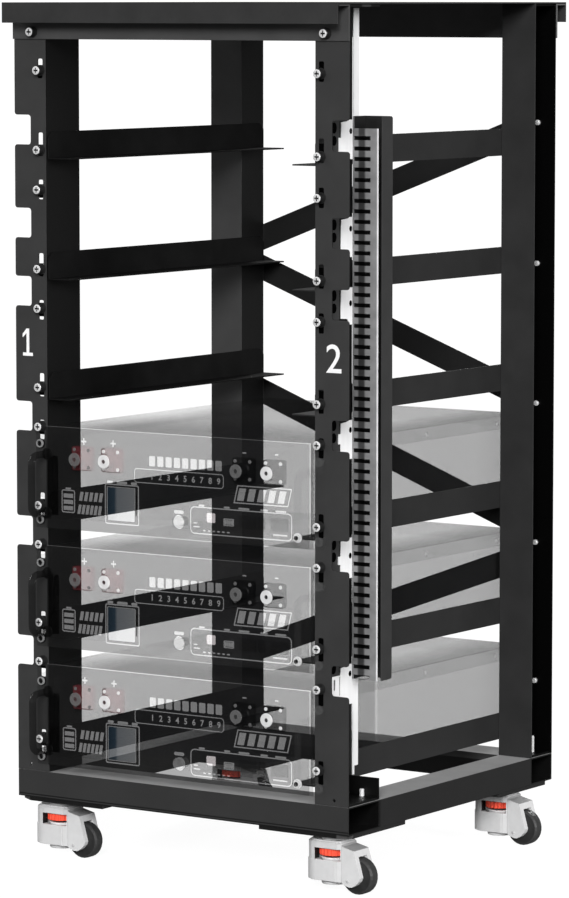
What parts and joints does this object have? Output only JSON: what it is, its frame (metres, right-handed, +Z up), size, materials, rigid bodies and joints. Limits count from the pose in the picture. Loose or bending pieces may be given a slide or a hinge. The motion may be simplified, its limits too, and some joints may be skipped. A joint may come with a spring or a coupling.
{
  "type": "server rack battery",
  "caption": "Open black steel battery rack on levelling casters, with notched front posts, ledge rails, a slotted side cable duct and slide-out rack batteries with bow handles and terminals.",
  "frame": {"origin": "on the floor under the middle of the assembly's bounding box, with the wheels on the floor", "axes": "+X to the rack's right seen from the front, +Y from the front to the back, +Z up"},
  "size_m": [0.5744, 0.6026, 1.1943],
  "materials": {
    "frame_black": "satin black powder coat",
    "rail_black": "satin black powder coat",
    "zinc_plate": "bright zinc plate",
    "duct_grey": "moulded grey",
    "duct_cover_grey": "moulded dark grey",
    "caster_casting": "light grey coated casting",
    "wheel_black": "moulded nylon",
    "dial_red": "moulded red",
    "battery_case": "satin black powder coat",
    "battery_panel": "satin black powder coat",
    "battery_handle": "black coat",
    "cell_pack": "film-wrapped cells",
    "button_steel": "brushed"
  },
  "bodies": {
    "rack": {"base_frame": "frame_black", "post_front_left": "frame_black", "post_front_right": "frame_black", "post_rear_left": "frame_black", "post_rear_right": "frame_black", "top_cover": "frame_black", "top_front_beam": "frame_black", "top_rear_beam": "frame_black", "rail_l1": "rail_black", "rail_l2": "rail_black", "rail_l3": "rail_black", "rail_l4": "rail_black", "rail_l5": "rail_black", "rail_l6": "rail_black", "rail_r1": "rail_black", "rail_r2": "rail_black", "rail_r3": "rail_black", "rail_r4": "rail_black", "rail_r5": "rail_black", "rail_r6": "rail_black", "brace_1": "frame_black", "brace_2": "frame_black", "brace_3": "frame_black", "brace_4": "frame_black", "duct_bracket": "zinc_plate", "duct_body": "duct_grey"},
    "duct_lid": {"duct_cover": "duct_cover_grey"},
    "caster_fl": {"caster_fl_housing": "caster_casting"},
    "wheel_fl": {"caster_fl_wheel": "wheel_black"},
    "foot_fl": {"caster_fl_foot": "dial_red"},
    "caster_fr": {"caster_fr_housing": "caster_casting"},
    "wheel_fr": {"caster_fr_wheel": "wheel_black"},
    "foot_fr": {"caster_fr_foot": "dial_red"},
    "caster_rl": {"caster_rl_housing": "caster_casting"},
    "wheel_rl": {"caster_rl_wheel": "wheel_black"},
    "foot_rl": {"caster_rl_foot": "dial_red"},
    "caster_rr": {"caster_rr_housing": "caster_casting"},
    "wheel_rr": {"caster_rr_wheel": "wheel_black"},
    "foot_rr": {"caster_rr_foot": "dial_red"},
    "battery1": {"battery1_case": "battery_case", "battery1_lid": "battery_case", "battery1_front_panel": "battery_panel", "battery1_handle_left": "battery_handle", "battery1_handle_right": "battery_handle", "battery1_cell_pack": "cell_pack"},
    "button1": {"battery1_power_button": "button_steel"},
    "battery2": {"battery2_case": "battery_case", "battery2_lid": "battery_case", "battery2_front_panel": "battery_panel", "battery2_handle_left": "battery_handle", "battery2_handle_right": "battery_handle", "battery2_cell_pack": "cell_pack"},
    "button2": {"battery2_power_button": "button_steel"},
    "battery3": {"battery3_case": "battery_case", "battery3_lid": "battery_case", "battery3_front_panel": "battery_panel", "battery3_handle_left": "battery_handle", "battery3_handle_right": "battery_handle", "battery3_cell_pack": "cell_pack"},
    "button3": {"battery3_power_button": "button_steel"}
  },
  "joints": [
    {"name": "caster_fl_swivel", "type": "hinge", "parent": "rack", "child": "caster_fl", "pos_m": [-0.2388, -0.2192, 0.07], "axis": [0, 0, 1], "continuous": true},
    {"name": "caster_fr_swivel", "type": "hinge", "parent": "rack", "child": "caster_fr", "pos_m": [0.2212, -0.2192, 0.07], "axis": [0, 0, 1], "continuous": true},
    {"name": "caster_rl_swivel", "type": "hinge", "parent": "rack", "child": "caster_rl", "pos_m": [-0.2388, 0.2088, 0.07], "axis": [0, 0, 1], "continuous": true},
    {"name": "caster_rr_swivel", "type": "hinge", "parent": "rack", "child": "caster_rr", "pos_m": [0.2212, 0.2088, 0.07], "axis": [0, 0, 1], "continuous": true},
    {"name": "wheel_fl_spin", "type": "hinge", "parent": "caster_fl", "child": "wheel_fl", "pos_m": [-0.1978, -0.2192, 0.025], "axis": [0, 1, 0], "continuous": true},
    {"name": "wheel_fr_spin", "type": "hinge", "parent": "caster_fr", "child": "wheel_fr", "pos_m": [0.2622, -0.2192, 0.025], "axis": [0, 1, 0], "continuous": true},
    {"name": "wheel_rl_spin", "type": "hinge", "parent": "caster_rl", "child": "wheel_rl", "pos_m": [-0.1978, 0.2088, 0.025], "axis": [0, 1, 0], "continuous": true},
    {"name": "wheel_rr_spin", "type": "hinge", "parent": "caster_rr", "child": "wheel_rr", "pos_m": [0.2622, 0.2088, 0.025], "axis": [0, 1, 0], "continuous": true},
    {"name": "foot_fl_lower", "type": "slide", "parent": "caster_fl", "child": "foot_fl", "axis": [0, 0, -1], "range_m": [0, 0.0104]},
    {"name": "foot_fr_lower", "type": "slide", "parent": "caster_fr", "child": "foot_fr", "axis": [0, 0, -1], "range_m": [0, 0.0104]},
    {"name": "foot_rl_lower", "type": "slide", "parent": "caster_rl", "child": "foot_rl", "axis": [0, 0, -1], "range_m": [0, 0.0104]},
    {"name": "foot_rr_lower", "type": "slide", "parent": "caster_rr", "child": "foot_rr", "axis": [0, 0, -1], "range_m": [0, 0.0104]},
    {"name": "battery1_slide", "type": "slide", "parent": "rack", "child": "battery1", "axis": [0, -1, 0], "range_m": [0, 0.4]},
    {"name": "battery2_slide", "type": "slide", "parent": "rack", "child": "battery2", "axis": [0, -1, 0], "range_m": [0, 0.4]},
    {"name": "battery3_slide", "type": "slide", "parent": "rack", "child": "battery3", "axis": [0, -1, 0], "range_m": [0, 0.4]},
    {"name": "button1_press", "type": "slide", "parent": "battery1", "child": "button1", "axis": [0, 1, 0], "range_m": [0, 0.002], "stiffness_N_per_m": 800},
    {"name": "button2_press", "type": "slide", "parent": "battery2", "child": "button2", "axis": [0, 1, 0], "range_m": [0, 0.002], "stiffness_N_per_m": 800},
    {"name": "button3_press", "type": "slide", "parent": "battery3", "child": "button3", "axis": [0, 1, 0], "range_m": [0, 0.002], "stiffness_N_per_m": 800},
    {"name": "duct_cover_pull", "type": "slide", "parent": "rack", "child": "duct_lid", "axis": [1, 0, 0], "range_m": [0, 0.06]}
  ]
}
